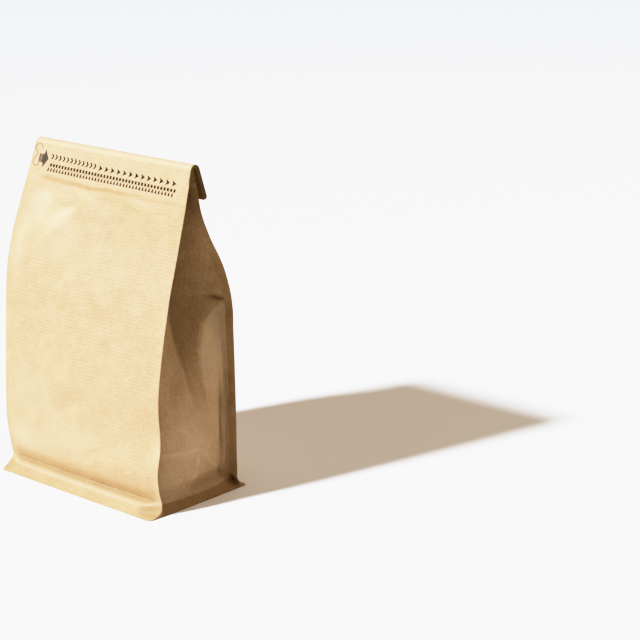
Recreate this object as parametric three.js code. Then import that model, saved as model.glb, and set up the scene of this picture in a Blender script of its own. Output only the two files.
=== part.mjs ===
// Flat-bottom coffee bag of ribbed kraft paper, filled and shut, its top band folded over to the back.
// Millimetres, +Z up. The front faces -Y. The origin lies on the floor under the middle of the base.

import * as THREE from "three";

// Driving dimensions of the bag
const BAG_WIDTH = 130;
const FOLDED_HEIGHT = 200;
const SEAL_WIDTH = 7;
const SEAL_THICKNESS = 1;
const BASE_WIDTH = 132;
const BASE_DEPTH = 81;
const BASE_CORNER_RADIUS = 4;

// The sealed lips round the base, which flare out to the floor from a valley above them
const VALLEY_HEIGHT = 8;
const SIDE_VALLEY_HEIGHT = 4.5;
const LIP_SHOULDER = 1.6;
const LIP_BEND_LEFT = 1.6;
const LIP_BEND_RIGHT = 5;
const STAR_HEIGHT = 33;

// The top band: the fold and the flap behind it
const FOLD_RADIUS = 3.3;
const FOLD_Y_LEFT = 0.5;
const FOLD_Y_RIGHT = 1.7;
const FRONT_LEAN_DEG = 15;
const FLAP_LEAN_DEG = 18.5;
const FLAP_LENGTH = 18.7;
const FLAP_THICKNESS = 1.1;
const FLAP_CORNER_RADIUS = 3;

// Where the side folds run out under the top fold
const FOLDS_CLOSE_FROM = 186;
const FOLDS_CLOSE_AT = 192;

// How far each panel stands out of the base's middle plane along its edges, as [height, depth] pairs
const FRONT_LEFT = [[8, 30.8], [14, 31.4], [24.7, 33.3], [40, 34.4], [78, 32.8], [107, 31.1],
  [129.5, 28.7], [150.4, 22.5], [170.9, 13.9], [182.3, 9.1], [197.5, 2.8]];
const FRONT_RIGHT = [[8, 30.2], [14, 31.4], [26, 32.5], [42, 30.1], [65, 31.4], [85, 29.4], [124.6, 21.2],
  [154, 12.9], [180.3, 6], [197.5, 1.5]];
const BACK_RIGHT = [[8, 31.9], [48, 31.8], [96, 30.5], [111, 30.1], [125, 27.3], [140.6, 21.4],
  [156.3, 12.6], [171.4, 6.1], [186, 2.5], [197.5, 0.1]];
const BACK_LEFT = [[8, 31.9], [40, 32.5], [92, 31.1], [114, 29.1], [138, 21.7], [156.3, 12.7],
  [171.4, 5.9], [186, 1.9], [197.5, -1.1]];

// How far out the middle crease of each side fold lies while the bag is full
const CREASE_OUT = [[4.5, 62.3], [12, 64.2], [22, 65], [33, 65.2], [55, 58.6], [112, 39.2], [150, 29.4],
  [175, 26.2], [197.5, 25.6]];

// How much the full panels swell between their edges
const FRONT_SWELL = [[8, 0.4], [20, 2], [45, 2.6], [90, 3.2], [140, 2.4], [180, 0.6], [197.5, 0]];
const BACK_SWELL = [[8, 0.4], [20, 2.4], [60, 4], [110, 4], [150, 2], [176, 0.4], [197.5, 0]];
const GUSSET_SWELL = [[4.5, 0.8], [20, 1.2], [60, 1.8], [112, 1], [150, 0.2], [197.5, 0]];

// How finely the surface is divided
const ACROSS_PANEL = 16;
const ACROSS_HALF_GUSSET = 6;
const LIP_STEPS = 3;
const VALLEY_STEPS = 2;
const LOWER_STEPS = 6;
const UPPER_STEPS = 26;
const FOLD_STEPS = 8;
const FLAP_STEPS = 3;
const CORNER_STEPS = 4;
const EDGE_CROWDING = 0.4;

const HALF_WIDTH = BAG_WIDTH / 2;
const SEAL_ROOT_X = HALF_WIDTH - SEAL_WIDTH;
const EDGE_ROUND = 0.3;
const FOLD_WALL = FOLD_RADIUS / 2;
const FOLD_START = Math.PI - THREE.MathUtils.degToRad(FRONT_LEAN_DEG);
const FOLD_END = THREE.MathUtils.degToRad(FLAP_LEAN_DEG);
const PANEL_TOP = FOLDED_HEIGHT - FOLD_RADIUS * (1 - Math.sin(FOLD_START));
const { lerp, clamp, smoothstep } = THREE.MathUtils;

// A smooth curve through [at, value] pairs, level past its two ends
function curveThrough(pairs) {
  const last = pairs.length - 1;
  const slopeBetween = (a, b) => (pairs[b][1] - pairs[a][1]) / (pairs[b][0] - pairs[a][0]);
  const slopes = pairs.map((_, i) => slopeBetween(Math.max(i - 1, 0), Math.min(i + 1, last)));
  return (at) => {
    if (at <= pairs[0][0]) return pairs[0][1];
    if (at >= pairs[last][0]) return pairs[last][1];
    const i = pairs.findIndex((pair) => pair[0] > at) - 1;
    const span = pairs[i + 1][0] - pairs[i][0];
    const t = (at - pairs[i][0]) / span;
    const rise = pairs[i + 1][1] - pairs[i][1];
    const a = slopes[i] * span - rise;
    const b = rise - slopes[i + 1] * span;
    return lerp(pairs[i][1], pairs[i + 1][1], t) + t * (1 - t) * (a * (1 - t) + b * t);
  };
}

const frontLeft = curveThrough(FRONT_LEFT);
const frontRight = curveThrough(FRONT_RIGHT);
const backLeft = curveThrough(BACK_LEFT);
const backRight = curveThrough(BACK_RIGHT);
const creaseOut = curveThrough(CREASE_OUT);
const frontSwell = curveThrough(FRONT_SWELL);
const backSwell = curveThrough(BACK_SWELL);
const gussetSwell = curveThrough(GUSSET_SWELL);

const acrossBag = (x) => clamp(x / BAG_WIDTH + 0.5, 0, 1);
const foldY = (x) => lerp(FOLD_Y_LEFT, FOLD_Y_RIGHT, acrossBag(x));
const swellAcross = (x) => Math.sin(Math.PI * acrossBag(x)) ** 0.8;
const stepsFrom = (start, end, count) => Array.from({ length: count }, (_, i) => lerp(start, end, i / count));

// Half the depth of the base at x, less where its corner is rounded
function baseEdge(x) {
  const past = Math.max(Math.abs(x) - BASE_WIDTH / 2 + BASE_CORNER_RADIUS, 0);
  return BASE_DEPTH / 2 - BASE_CORNER_RADIUS + Math.sqrt(BASE_CORNER_RADIUS ** 2 - past ** 2);
}

// How far a lip has run out at a height, from 0 in the valley to 1 on the floor: with a rounded
// shoulder over most of the width, and in a curve close to the floor at the corners
function lipFlare(x, height) {
  const rise = clamp(height / VALLEY_HEIGHT, 0, 1);
  const nearCorner = smoothstep(Math.abs(x), HALF_WIDTH - 2 * SEAL_WIDTH, HALF_WIDTH);
  const bend = lerp(1, x > 0 ? LIP_BEND_RIGHT : LIP_BEND_LEFT, nearCorner);
  return (1 - rise ** lerp(LIP_SHOULDER, 1, nearCorner)) ** bend;
}

// Depth of a panel, with its lip, at x and a height
function panelDepth(left, right, swell, x, height) {
  const edge = lerp(left(height), right(height), acrossBag(x));
  return lerp(edge + swell(height) * swellAcross(x), baseEdge(x), lipFlare(x, height));
}

const frontY = (x, height) => -panelDepth(frontLeft, frontRight, frontSwell, x, height);
const backY = (x, height) => panelDepth(backLeft, backRight, backSwell, x, height);

// Half the width of the panels at a height: the side lips run out a little at the floor
function halfWidthAt(height) {
  return lerp(BASE_WIDTH / 2, HALF_WIDTH, clamp(height / SIDE_VALLEY_HEIGHT, 0, 1));
}

// A point of a side at a height, from along = -1 at the front seal's root to 1 at the back seal's root
function gussetPoint(side, height, along) {
  const rootX = side * SEAL_ROOT_X;
  const front = frontY(rootX, height);
  const back = backY(rootX, height);
  const seal = Math.min(SEAL_THICKNESS, (back - front) / 4);
  const halfGap = (back - front) / 2 - seal;
  const inward = 1 - Math.abs(along);
  const swell = gussetSwell(height) * Math.sin(Math.PI * inward);
  const x = side * (lerp(SEAL_ROOT_X, creaseOut(height), inward) + swell);
  return new THREE.Vector3(x, (front + back) / 2 + halfGap * along, height);
}

// What each point round a side belongs to, from the front seal's edge to the back seal's edge
function sideStations() {
  const gusset = [];
  for (let i = -ACROSS_HALF_GUSSET; i <= ACROSS_HALF_GUSSET; i += 1) {
    gusset.push({ part: "gusset", along: i / ACROSS_HALF_GUSSET });
  }
  const sealEnd = (part, end) => ({ part, end });
  return [sealEnd("edge", -1), sealEnd("inner", -1), ...gusset, sealEnd("inner", 1), sealEnd("edge", 1)];
}

const STATIONS = sideStations();

// The rounded side edge of a closed thickness between a front point and a back point
function roundedEdge(side, front, back, fraction) {
  const point = front.clone().lerp(back, fraction);
  point.x += side * EDGE_ROUND * Math.sin(Math.PI * fraction);
  return point;
}

// A point of a seal's free edge, or of its face towards the side fold
function sealPoint(station, side, height, front, back) {
  const from = station.end < 0 ? front : back;
  const seal = Math.min(SEAL_THICKNESS, (back.y - front.y) / 4);
  const onEdge = station.part === "edge";
  const x = from.x + (onEdge ? side * EDGE_ROUND : 0);
  return new THREE.Vector3(x, from.y - station.end * (onEdge ? seal / 2 : seal), height);
}

// One side of the bag's body at a height, from the front seal round the side fold to the back seal
function bodySide(side, height) {
  const tipX = side * (halfWidthAt(height) - EDGE_ROUND);
  const front = new THREE.Vector3(tipX, frontY(tipX, height), height);
  const back = new THREE.Vector3(tipX, backY(tipX, height), height);
  const foot = clamp(height / SIDE_VALLEY_HEIGHT, 0, 1);
  const open = foot * (1 - smoothstep(height, FOLDS_CLOSE_FROM, FOLDS_CLOSE_AT));
  return STATIONS.map((station, i) => {
    const closed = roundedEdge(side, front, back, (i + 1) / (STATIONS.length + 1));
    const shaped = station.part === "gusset"
      ? gussetPoint(side, height, station.along)
      : sealPoint(station, side, height, front, back);
    return closed.lerp(shaped, open);
  });
}

// The points across a panel from left to right, closer together towards its two edges
function acrossPanel(reach, pointAt) {
  return Array.from({ length: ACROSS_PANEL + 1 }, (_, i) => {
    const t = 2 * i / ACROSS_PANEL - 1;
    return pointAt(reach * lerp(t, Math.sin(Math.PI / 2 * t), EDGE_CROWDING));
  });
}

// A closed ring of the body at a height: front, right side, back and left side
function bodyRing(height) {
  const reach = halfWidthAt(height) - EDGE_ROUND;
  const front = acrossPanel(reach, (x) => new THREE.Vector3(x, frontY(x, height), height));
  const back = acrossPanel(reach, (x) => new THREE.Vector3(x, backY(x, height), height));
  return [...front, ...bodySide(1, height), ...back.reverse(), ...bodySide(-1, height).reverse()];
}

// A closed ring of the folded band, given its half width and its outer and inner [y, drop] points
function bandRing(reach, outer, inner) {
  const place = (x, [y, drop]) => new THREE.Vector3(x, foldY(x) + y, FOLDED_HEIGHT - drop);
  const outside = acrossPanel(reach, (x) => place(x, outer));
  const inside = acrossPanel(reach, (x) => place(x, inner));
  const sideOf = (side) => STATIONS.map((_, i) => {
    const fraction = (i + 1) / (STATIONS.length + 1);
    return roundedEdge(side, place(side * reach, outer), place(side * reach, inner), fraction);
  });
  return [...outside, ...sideOf(1), ...inside.reverse(), ...sideOf(-1).reverse()];
}

// A [y, drop] point of the top fold, at a radius and an angle up from straight back
function onFold(radius, angle) {
  return [radius * Math.cos(angle), FOLD_RADIUS - radius * Math.sin(angle)];
}

// The rings over the top fold
function foldRings() {
  return stepsFrom(FOLD_START, FOLD_END, FOLD_STEPS).map((angle) => {
    return bandRing(HALF_WIDTH - EDGE_ROUND, onFold(FOLD_RADIUS, angle), onFold(FOLD_WALL, angle));
  });
}

// The rings down the flap, which thins below the fold and has rounded lower corners
function flapRings() {
  const cornerStart = FLAP_LENGTH - FLAP_CORNER_RADIUS;
  const lengths = stepsFrom(0, cornerStart, FLAP_STEPS);
  for (let i = 0; i <= CORNER_STEPS; i += 1) {
    lengths.push(cornerStart + FLAP_CORNER_RADIUS * Math.sin(Math.PI / 2 * i / CORNER_STEPS));
  }
  const [startY, startDrop] = onFold(FOLD_RADIUS, FOLD_END);
  return lengths.map((length) => {
    const wall = lerp(FOLD_WALL, FLAP_THICKNESS, Math.min(2 * length / FLAP_LENGTH, 1));
    const past = Math.max(length - cornerStart, 0) / FLAP_CORNER_RADIUS;
    const rounding = FLAP_CORNER_RADIUS * (1 - Math.sqrt(Math.max(1 - past ** 2, 0)));
    const y = startY + length * Math.sin(FOLD_END);
    const drop = startDrop + length * Math.cos(FOLD_END);
    const inner = [y - wall * Math.cos(FOLD_END), drop + wall * Math.sin(FOLD_END)];
    return bandRing(HALF_WIDTH - EDGE_ROUND - rounding, [y, drop], inner);
  });
}

// A closed surface through rings of equal count, with a flat foot and a strip over the flap's end
function loftRings(rings) {
  const count = rings[0].length;
  const positions = rings.flat().flatMap((point) => [point.x, point.y, point.z]);
  const foot = rings.length * count;
  positions.push(0, 0, 0);
  const index = [];
  for (let i = 0; i < count; i += 1) {
    const next = (i + 1) % count;
    index.push(foot, next, i);
    for (let ring = 0; ring < rings.length - 1; ring += 1) {
      const low = ring * count;
      const high = low + count;
      index.push(low + i, low + next, high + next, low + i, high + next, high + i);
    }
  }
  const end = foot - count;
  const sideCount = STATIONS.length;
  const right = ACROSS_PANEL;
  for (let i = 0; i < ACROSS_PANEL; i += 1) {
    const back = right + sideCount + 1 + ACROSS_PANEL - i;
    index.push(end + i, end + i + 1, end + back - 1, end + i, end + back - 1, end + back);
  }
  for (let i = 0; i < sideCount; i += 1) {
    const left = count - sideCount + i;
    index.push(end + right, end + right + 1 + i, end + right + 2 + i, end, end + left - 1, end + left);
  }
  const geometry = new THREE.BufferGeometry();
  geometry.setAttribute("position", new THREE.Float32BufferAttribute(positions, 3));
  geometry.setIndex(index);
  geometry.computeVertexNormals();
  return geometry;
}

// The whole bag: lips, lower part up to the star of creases, upper part, fold and flap
function makeBag() {
  const heights = [
    ...stepsFrom(0, SIDE_VALLEY_HEIGHT, LIP_STEPS),
    ...stepsFrom(SIDE_VALLEY_HEIGHT, VALLEY_HEIGHT, VALLEY_STEPS),
    ...stepsFrom(VALLEY_HEIGHT, STAR_HEIGHT, LOWER_STEPS),
    ...stepsFrom(STAR_HEIGHT, PANEL_TOP, UPPER_STEPS),
  ];
  const geometry = loftRings([...heights.map(bodyRing), ...foldRings(), ...flapRings()]);
  const material = new THREE.MeshStandardMaterial({ color: 0xd8b684, roughness: 0.85, metalness: 0 });
  const bag = new THREE.Mesh(geometry, material);
  bag.name = "coffee_bag";
  return bag;
}

const coffeeBag = new THREE.Group();
coffeeBag.add(makeBag());

export default coffeeBag;
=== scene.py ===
"""Flat-bottom coffee bag of ribbed kraft paper, filled and shut, its top band folded over to the back.

Metres in Blender. The shape functions work in millimetres, +Z up, with the front facing -Y and the
origin on the floor under the middle of the base.
"""
import math

import bpy
import numpy as np
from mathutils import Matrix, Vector


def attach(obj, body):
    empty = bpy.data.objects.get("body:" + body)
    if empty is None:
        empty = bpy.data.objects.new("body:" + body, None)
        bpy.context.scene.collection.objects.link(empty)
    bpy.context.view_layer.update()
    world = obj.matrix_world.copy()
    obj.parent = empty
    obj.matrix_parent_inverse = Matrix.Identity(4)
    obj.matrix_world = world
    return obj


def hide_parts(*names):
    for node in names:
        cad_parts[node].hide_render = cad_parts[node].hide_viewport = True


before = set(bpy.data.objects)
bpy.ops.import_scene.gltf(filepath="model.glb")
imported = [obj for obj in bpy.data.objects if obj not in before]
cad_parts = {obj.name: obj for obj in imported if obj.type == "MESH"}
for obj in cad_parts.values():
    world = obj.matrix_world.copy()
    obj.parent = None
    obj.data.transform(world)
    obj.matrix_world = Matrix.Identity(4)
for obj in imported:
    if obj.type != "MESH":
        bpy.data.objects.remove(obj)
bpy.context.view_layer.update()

bl_info = {
    "name": "Kraft coffee bag",
    "version": (1, 0, 0),
    "blender": (4, 5, 0),
    "location": "View3D > Sidebar > Coffee bag",
    "description": "Builds a filled, shut flat-bottom coffee bag of ribbed kraft paper",
    "category": "Add Mesh",
}

MM = 0.001

# Sizes of the bag, in millimetres, as in its solid model
BAG_WIDTH = 130
FOLDED_HEIGHT = 200
SEAL_WIDTH = 7
SEAL_THICKNESS = 0.9
SEAL_EDGE = 0.35
BASE_WIDTH = 132
BASE_DEPTH = 81
BASE_CORNER_RADIUS = 4
VALLEY_HEIGHT = 8
SIDE_VALLEY_HEIGHT = 4.5
RIDGE_RISE = 0.78
RIDGE_FLARE = 0.64
RIDGE_ROUND = 0.015
LIP_BEND_LEFT = 1.6
LIP_BEND_RIGHT = 5
LIP_BEND_BACK_RIGHT = 2.2
VALLEY_GROOVE = 0.8
SIDE_GROOVE = 5.4
STAR_HEIGHT = 33
FOLD_RADIUS = 3.3
FOLD_Y_LEFT = 0.5
FOLD_Y_RIGHT = 1.7
FRONT_LEAN_DEG = 15
FLAP_LEAN_DEG = 18.5
FLAP_LENGTH = 20.2
FLAP_THICKNESS = 1.1
FLAP_CORNER_RADIUS = 3
FOLDS_CLOSE_FROM = 186
FOLDS_CLOSE_AT = 192
EDGE_ROUND = 0.25
LAYER_COUNT = 4
LAYER_GROOVE = 0.12

# How far each panel stands out of the base's middle plane along its edges, as [height, depth] pairs
FRONT_LEFT = [[8, 30.8], [14, 31.4], [24.7, 33.3], [40, 34.4], [78, 32.8], [107, 31.1],
              [129.5, 28.7], [150.4, 22.5], [170.9, 13.9], [182.3, 9.1], [197.5, 2.8]]
FRONT_RIGHT = [[8, 30.2], [14, 31.4], [26, 32.5], [42, 30.1], [65, 31.4], [85, 29.4], [124.6, 21.2],
               [154, 12.9], [180.3, 6], [197.5, 1.5]]
BACK_RIGHT = [[8, 31.9], [48, 31.8], [96, 30.5], [111, 30.1], [125, 27.3], [140.6, 21.4],
              [156.3, 12.6], [171.4, 6.1], [186, 2.5], [197.5, 0.1]]
BACK_LEFT = [[8, 31.9], [40, 32.5], [92, 31.1], [114, 29.1], [138, 21.7], [156.3, 12.7],
             [171.4, 5.9], [186, 1.9], [197.5, -1.1]]

# How far out the middle crease of each side fold lies, and how much each panel swells between its edges
CREASE_OUT = [[4.5, 62.3], [12, 64.2], [22, 65], [33, 65.2], [47, 64.2], [60, 61.2], [76, 54.3],
              [90, 47.6], [108, 40.8], [150, 29.4], [175, 26.2], [197.5, 25.6]]
FRONT_SWELL = [[8, 2.2], [20, 2.8], [45, 2.9], [90, 3.2], [140, 2.4], [180, 0.6], [197.5, 0]]
BACK_SWELL = [[8, 0.4], [20, 2.4], [60, 4], [110, 4], [150, 2], [176, 0.4], [197.5, 0]]
GUSSET_SWELL = [[4.5, 0.8], [20, 1.2], [60, 1.8], [112, 1], [150, 0.2], [197.5, 0]]

# How finely the paper is divided
ACROSS_PANEL = 72
ACROSS_HALF_GUSSET = 34
SEAL_STEPS = 7
EDGE_STEPS = 4
LIP_STEPS = 10
VALLEY_STEPS = 7
LOWER_STEPS = 34
UPPER_STEPS = 186
FOLD_STEPS = 18
FLAP_STEPS = 20
CORNER_STEPS = 7
EDGE_CROWDING = 0.35

# The pressed zip line below the print, and its soft shadowed groove
ZIP_LEFT = (-50, 180)
ZIP_RIGHT = (61, 179)
ZIP_RIDGE = 0.5
ZIP_GROOVE = 0.8
ZIP_STEP = 3.4

# The seam line inside each sealed edge, and how the front's edges flare forward low down
SEAM_X = 61.4
SEAM_DEPTH = 0.12
SEAM_WIDTH = 0.45
EDGE_FLARE = 0.7
EDGE_FLARE_TOP = 62

# Dents and crumples of the front, as [x, height, half length, half width, turn in degrees, depth]
FRONT_DENTS = [
    [-22, 165, 9, 4, 35, -2.3],
    [-32, 171, 12, 3.5, -18, 1.7],
    [-44, 160, 7, 9, 20, -1.6],
    [-30, 154, 12, 7, 40, 2.2],
    [-12, 168, 8, 4, -30, 1.6],
    [6, 171, 9, 3, 10, -1.1],
    [29, 173, 10, 3, -8, 1.1],
    [22, 160, 12, 7, 50, -1.3],
    [-52, 140, 8, 14, 10, 1.1],
    [-8, 52, 14, 5, 30, -1.0],
    [12, 26, 10, 4, 20, -1.0],
    [-14, 66, 10, 6, -25, 0.9],
]

# Creases pressed into the front and back: two ends, depth and width
FRONT_CREASES = [
    [(-64, 33.4), (50, 39.4), -0.15, 0.9],
    [(-30, 175), (-19, 162), -0.6, 1.0],
    [(-24, 161), (-10, 166), 0.6, 1.0],
    [(-47, 173), (-38, 166), -0.4, 1.0],
    [(-40, 158), (-31, 149), 0.4, 1.0],
    [(2, 172), (12, 165), 0.3, 1.0],
]

BACK_CREASES = [
    [(-52, 150), (38, 158), -0.3, 1.2],
    [(-60, 40), (60, 36), -0.15, 0.9],
]

# Pale patches of painted highlight on the front, as the dents with a strength in place of depth
HIGHLIGHT_PATCHES = [
    [-45, 169, 8, 4.5, 15, 0.6],
    [-43, 159, 9, 5, -20, 0.5],
    [-27, 160, 11, 4.5, 40, 0.7],
    [-24, 148, 12, 6, 30, 0.35],
    [-56, 146, 5, 22, 0, 0.4],
    [-12, 173, 9, 2.5, -8, 0.35],
    [29, 174, 9, 2.5, -5, 0.3],
    [-38, 162, 20, 13, 30, 0.3],
    [-48, 22, 20, 9, -8, 0.65],
    [-12, 42, 58, 30, 0, 0.2],
    [-10, 27, 26, 8, 5, 0.3],
    [-40, 60, 16, 10, 30, 0.2],
    [63, 40, 4, 7, 0, 0.6],
]

# Creases of a side: two ends as (depth from the middle, height), height of the line and its width
SIDE_CREASES = [
    [(1, 33), (-26, 34.3), 0.35, 0.7],
    [(3, 32), (24, 10), 0.3, 0.7],
    [(-13, 23), (-25, 14), -0.3, 0.6],
    [(0.5, 31), (-1.5, 21), 0.35, 0.8],
    [(-1.5, 21), (-4.5, 8), 0.35, 0.8],
    [(-2, 40), (-24, 56), 0.12, 0.9],
    [(26.6, 12), (25.8, 92), 0.28, 0.5],
]

# The ridge in the rear half of a side fold, as [height, depth from the middle] and [height, how far out]
RIDGE_LINE = [[50, 8.5], [59, 8.5], [75, 7.7], [89, 7.6], [102, 10.5], [114, 18]]
RIDGE_OUT = [[46, 0], [59, 0.9], [75, 2.8], [89, 5.0], [102, 5.2], [112, 2.2], [119, 0]]
RIDGE_SOFT = 0.015

# Dents and bumps of a side fold, the sharp one above the ridge and the groove beside the rear seal last
SIDE_DENTS = [
    [19, 136, 4, 9, 25, 1.0],
    [24, 124, 7, 3, 15, 1.3],
    [27.5, 117, 8, 1.3, -14, -3.2],
    [23.5, 40, 3.0, 26, 0, -2.8],
]

# How strongly zones of the paper are pressed by heat sealing, darkened by painted shade and paled by painted
# highlights, from 0 to 1
LIP_SEAL = 0.75
FOLD_DEEP_SHADE = 0.85
FOLDED_SHADE = 0.28
CREASE_SHADE = 0.18
VALLEY_SHADE = 0.6
FOLD_TOP_SHADE = 0.3
SEAL_TOP_SHADE = 0.45
FOOT_SHADE = 0.35
TUCKED_SHADE = 0.9
LIP_CORNER_SHADE = 0.25
UPPER_FRONT_SHADE = 0.35
RIDGE_HIGHLIGHT = 0.9
TOP_FOLD_HIGHLIGHT = 0.8
CREASE_HIGHLIGHT = 0.8

# The facet behind the ridge, paled by painted light: its front edge, as [height, depth], and how strong its
# painted light is on the left and right
FACET_EDGE = [[60, 9.5], [89, 11], [97, 14], [102, 15.5], [106, 18.5], [115, 29]]
FACET_LIGHT_LEFT = 0.2
FACET_LIGHT_RIGHT = 0.65

# Spots of a side fold paled by painted highlights and darkened by painted shade, as the dents with a strength
# in place of depth
SIDE_HIGHLIGHTS = [
    [0, 38, 17, 15, 0, 0.6],
    [-19, 22, 9, 9, 0, 0.35],
]
SIDE_SHADES = [
    [-15, 78, 9, 20, 0, 0.2],
    [28, 116.2, 3, 1, -11, 0.5],
    [24, 119, 5, 1.6, -38, 0.22],
    [8, 47, 6, 9, 0, 0.16],
    [6, 12, 9, 5, 0, 0.18],
]

# Crumples over everything, in millimetres
CRUMPLE_SEED = 11
PATCH_SEED = 3
CRUMPLE_CELL = 26
CRUMPLE_DEPTH = 0.6
WRINKLE_CELL = 9
WRINKLE_DEPTH = 0.1

# The paper's pattern: sizes of its ribs, fibres, clouds and specks, and the ribs' sway in pitches
RIB_PITCH = 2.03
FIBRE_LENGTH = 9
FIBRE_WIDTH = 0.8
CLOUD_SIZE = 11
SPECK_SIZE = 1.2
RIB_SWAY = 0.35

# The display's soft shoulder, in linear light
SHOULDER_KNEE = 0.6
SHOULDER_TOP = 0.97
SHOULDER_REACH = 3.0

# The stage: how far its floor reaches in metres, and the linear colours of its lights
FLOOR_REACH = 300.0
KEY_COLOUR = (0.87, 1.0, 1.22)
TOP_COLOUR = (1.12, 0.96, 0.82)
BACK_COLOUR = (1.06, 1.0, 0.82)

# The print: where its rows start and end as (x, height), and how many marks they hold
ARROWHEADS = {"start": (-5.6, 189.5), "end": (53.7, 188.7), "count": 13}
CHEVRONS = {"start": (-47.2, 191.0), "end": (-10.6, 190.0), "count": 12}
UPPER_MARKS = {"start": (-46.8, 186.3), "end": (54.9, 184.9), "count": 41}
LOWER_MARKS = {"start": (-48.3, 183.8), "end": (53.5, 182.5), "count": 41}
ARROWHEAD_OUTLINE = [(1.55, 0), (-1.45, 1.65), (-0.9, 0), (-1.45, -1.65)]
CHEVRON_OUTLINE = [(1.2, 0), (0, 1.4), (-1.15, 1.4), (0, 0), (-1.15, -1.4), (0, -1.4)]
UPPER_OUTLINE = [(-0.75, 0.85), (0.75, 0.85), (0.7, -0.85), (-0.8, -0.85)]
LOWER_OUTLINE = [(-0.1, 1.0), (0.45, 1.0), (0.75, -0.95), (-0.75, -0.95)]
ARROW_HEAD = [(-55.9, 191.5), (-54.5, 191.6), (-54.3, 194.3), (-50.4, 189.3), (-54, 184),
              (-54.4, 186.7), (-55.9, 186.8)]
TAIL_STRIPES = [(-58.6, 0.9), (-57.45, 0.55), (-56.6, 0.5)]
TAIL_FOOT = 186.8
TAIL_TOP = 191.5
TAB_PATH = [(-57.4, 194.2), (-57.9, 196.0), (-60.4, 196.9), (-62.8, 196.1), (-63.4, 194.6), (-62.4, 193.2),
            (-61.0, 192.2), (-60.6, 191.0), (-61.5, 189.6), (-62.7, 187.7), (-62.6, 185.8), (-60.5, 184.6),
            (-58.4, 185.3), (-57.2, 186.3)]
TAB_LINE = 0.45
TAB_PIECES = 70
PLATE_FINENESS = 3
INK_OUT = 0.05
INK_IN = 0.04
SOAK_SIZE = 1.1
PAPER_UNDER_INK = "#AA915E"


def smooth(x, low, high):
    """Smooth rise from 0 at low to 1 at high."""
    t = np.clip((x - low) / (high - low), 0, 1)
    return t * t * (3 - 2 * t)


def mix(a, b, t):
    """The value a share t of the way from a to b."""
    return a + (b - a) * t


def bell(x, middle, width):
    """1 at the middle, falling off smoothly on both sides."""
    return np.exp(-((x - middle) / width) ** 2)


def curve_through(pairs):
    """A smooth curve through [at, value] pairs, level past its two ends."""
    at, value = np.array(pairs, float).T
    last = len(at) - 1
    before, after = np.maximum(np.arange(last + 1) - 1, 0), np.minimum(np.arange(last + 1) + 1, last)
    slopes = (value[after] - value[before]) / (at[after] - at[before])

    def curve(x):
        x = np.clip(x, at[0], at[-1])
        i = np.clip(np.searchsorted(at, x, side="right") - 1, 0, last - 1)
        span = at[i + 1] - at[i]
        t = (x - at[i]) / span
        rise = value[i + 1] - value[i]
        a = slopes[i] * span - rise
        b = rise - slopes[i + 1] * span
        return value[i] + rise * t + t * (1 - t) * (a * (1 - t) + b * t)

    return curve


front_left = curve_through(FRONT_LEFT)
front_right = curve_through(FRONT_RIGHT)
back_left = curve_through(BACK_LEFT)
back_right = curve_through(BACK_RIGHT)
crease_out = curve_through(CREASE_OUT)
front_swell = curve_through(FRONT_SWELL)
back_swell = curve_through(BACK_SWELL)
gusset_swell = curve_through(GUSSET_SWELL)
ridge_line = curve_through(RIDGE_LINE)
ridge_out = curve_through(RIDGE_OUT)
facet_edge = curve_through(FACET_EDGE)

HALF_WIDTH = BAG_WIDTH / 2
SEAL_ROOT_X = HALF_WIDTH - SEAL_WIDTH
FOLD_WALL = FOLD_RADIUS / 2
FOLD_START = math.pi - math.radians(FRONT_LEAN_DEG)
FOLD_END = math.radians(FLAP_LEAN_DEG)
PANEL_TOP = FOLDED_HEIGHT - FOLD_RADIUS * (1 - math.sin(FOLD_START))


def soft_noise(x, y, cell, seed):
    """Smooth noise from -1 to 1 over a plane, from a seeded lattice of random values."""
    lattice = np.random.default_rng(seed).uniform(-1, 1, (64, 64))
    gx, gy = x / cell + 17.3, y / cell + 9.1
    ix, iy = np.floor(gx).astype(int), np.floor(gy).astype(int)
    fx, fy = gx - ix, gy - iy
    fx, fy = (f ** 3 * (f * (6 * f - 15) + 10) for f in (fx, fy))

    def corner(i, j):
        return lattice[(ix + i) % 64, (iy + j) % 64]

    return mix(mix(corner(0, 0), corner(1, 0), fx), mix(corner(0, 1), corner(1, 1), fx), fy)


def crumple(x, y, seed):
    """Slow waves with finer wrinkles on them, in millimetres."""
    slow = soft_noise(x, y, CRUMPLE_CELL, seed) + 0.5 * soft_noise(x, y, CRUMPLE_CELL * 0.55, seed + 1)
    return CRUMPLE_DEPTH * slow + WRINKLE_DEPTH * soft_noise(x, y, WRINKLE_CELL, seed + 2)


def crease(x, y, start, end, height, width):
    """A sharp line pressed from start to end, which fades out past its two ends."""
    (x0, y0), (x1, y1) = start, end
    length = math.hypot(x1 - x0, y1 - y0)
    along = ((x - x0) * (x1 - x0) + (y - y0) * (y1 - y0)) / length
    off = np.abs((x - x0) * (y1 - y0) - (y - y0) * (x1 - x0)) / length
    past = np.maximum(np.maximum(-along, along - length), 0)
    ends = smooth(along, -width, 4 * width) * smooth(length - along, -width, 4 * width)
    return height * ends * np.exp(-(off + 2 * past) / width)


def dent(x, y, at_x, at_y, half_length, half_width, turn, depth):
    """A soft oval dent or bump with a turned long axis."""
    c, s = math.cos(math.radians(turn)), math.sin(math.radians(turn))
    u = ((x - at_x) * c + (y - at_y) * s) / half_length
    v = (-(x - at_x) * s + (y - at_y) * c) / half_width
    return depth * np.exp(-(u * u + v * v))


def across_bag(x):
    """0 at the left edge of the bag and 1 at the right one."""
    return np.clip(x / BAG_WIDTH + 0.5, 0, 1)


def zip_height(x):
    """Height of the pressed zip line at x."""
    (x0, z0), (x1, z1) = ZIP_LEFT, ZIP_RIGHT
    return mix(z0, z1, (x - x0) / (x1 - x0)) + 0.35 * np.sin(x / 9.0) + 0.2 * np.sin(x / 3.7 + 1)


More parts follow.
